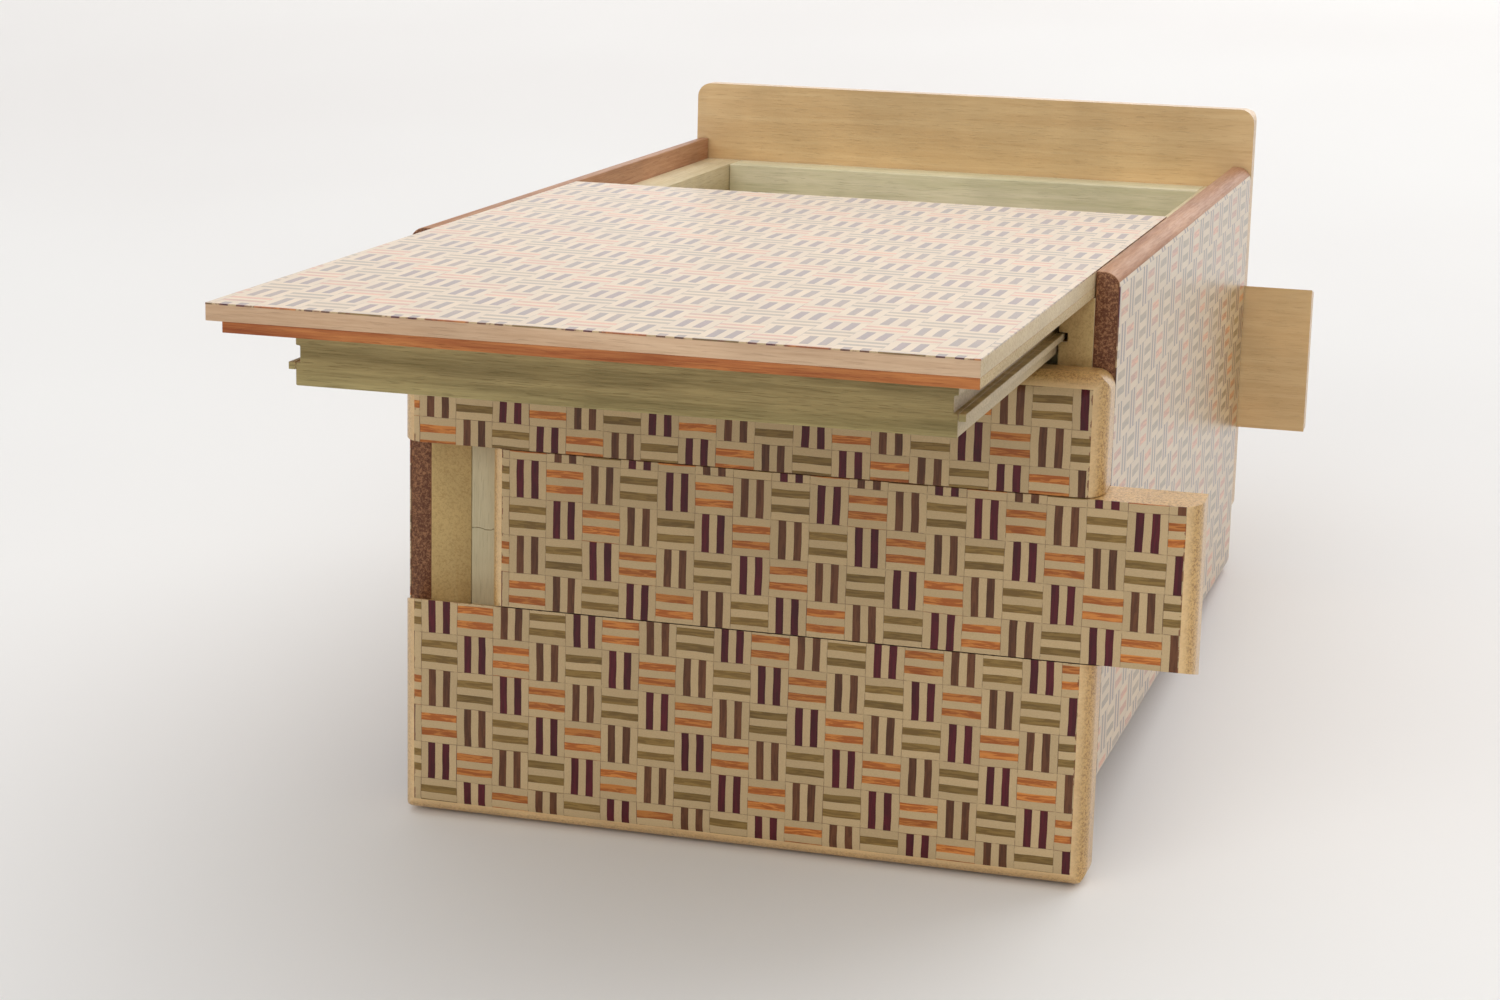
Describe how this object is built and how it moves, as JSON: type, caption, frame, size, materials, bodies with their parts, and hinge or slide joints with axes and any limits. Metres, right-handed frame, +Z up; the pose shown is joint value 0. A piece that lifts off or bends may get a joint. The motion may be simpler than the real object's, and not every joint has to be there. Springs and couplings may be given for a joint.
{
  "type": "wooden puzzle box",
  "caption": "Wooden secret box with striped-tile marquetry, its end panels, keys and lid slid part open, leaning on its lowered end panel.",
  "frame": {"origin": "centre of the bounding box at the level of the surface that the leaning box stands on", "axes": "+X to the right, the way both keys slide out; +Y from the near end to the far end along the surface; +Z up from the surface. The box itself leans 5.6 degrees about X, near end up."},
  "size_m": [0.1212, 0.2238, 0.0962],
  "materials": {
    "side_wood": "satin",
    "marquetry": "satin varnish",
    "guide_wood": "bare, sanded",
    "panel_wood": "satin",
    "magnolia_wood": "bare, sanded",
    "lid_wood": "bare, sanded",
    "underlay_wood": "bare, sanded"
  },
  "bodies": {
    "frame": {"left_side_board": "side_wood", "right_side_board": "side_wood", "left_side_veneer": "marquetry", "right_side_veneer": "marquetry", "left_guide_board": "guide_wood", "right_guide_board": "guide_wood", "near_inner_wall": "magnolia_wood", "far_inner_wall": "magnolia_wood", "compartment_floor": "magnolia_wood"},
    "near_panel": {"near_top_board": "panel_wood", "near_bottom_board": "panel_wood", "near_top_veneer": "marquetry", "near_bottom_veneer": "marquetry", "near_back_board": "magnolia_wood"},
    "near_key": {"near_key_board": "panel_wood", "near_key_veneer": "marquetry", "near_key_lock": "magnolia_wood"},
    "far_panel": {"far_bottom_board": "panel_wood", "far_top_board": "panel_wood", "far_bottom_veneer": "marquetry", "far_top_veneer": "marquetry", "far_back_board": "magnolia_wood"},
    "far_key": {"far_key_board": "panel_wood", "far_key_veneer": "marquetry", "far_key_lock": "magnolia_wood"},
    "lid": {"lid_board": "lid_wood", "lid_veneer": "marquetry", "lid_underlay": "underlay_wood", "lid_inner_board": "magnolia_wood", "lid_tongues": "magnolia_wood"},
    "bottom_panel": {"bottom_board": "lid_wood", "bottom_veneer": "marquetry", "bottom_underlay": "underlay_wood", "bottom_inner_board": "magnolia_wood", "bottom_tongues": "magnolia_wood"}
  },
  "joints": [
    {"name": "near_panel_slide", "type": "slide", "parent": "frame", "child": "near_panel", "axis": [0, 0.0967, 0.9953], "range_m": [0, 0.0011]},
    {"name": "near_key_slide", "type": "slide", "parent": "near_panel", "child": "near_key", "axis": [1, 0, 0], "range_m": [-0.014, 0]},
    {"name": "far_panel_slide", "type": "slide", "parent": "frame", "child": "far_panel", "axis": [0, 0.0967, 0.9953], "range_m": [-0.01041, 0.00329]},
    {"name": "far_key_slide", "type": "slide", "parent": "far_panel", "child": "far_key", "axis": [1, 0, 0], "range_m": [-0.01232, 0.00168]},
    {"name": "lid_slide", "type": "slide", "parent": "frame", "child": "lid", "axis": [0, -0.9953, 0.0967], "range_m": [-0.0765, 0.01]},
    {"name": "bottom_panel_slide", "type": "slide", "parent": "frame", "child": "bottom_panel", "axis": [0, 0.9953, -0.0967], "range_m": [0, 0.012]}
  ]
}
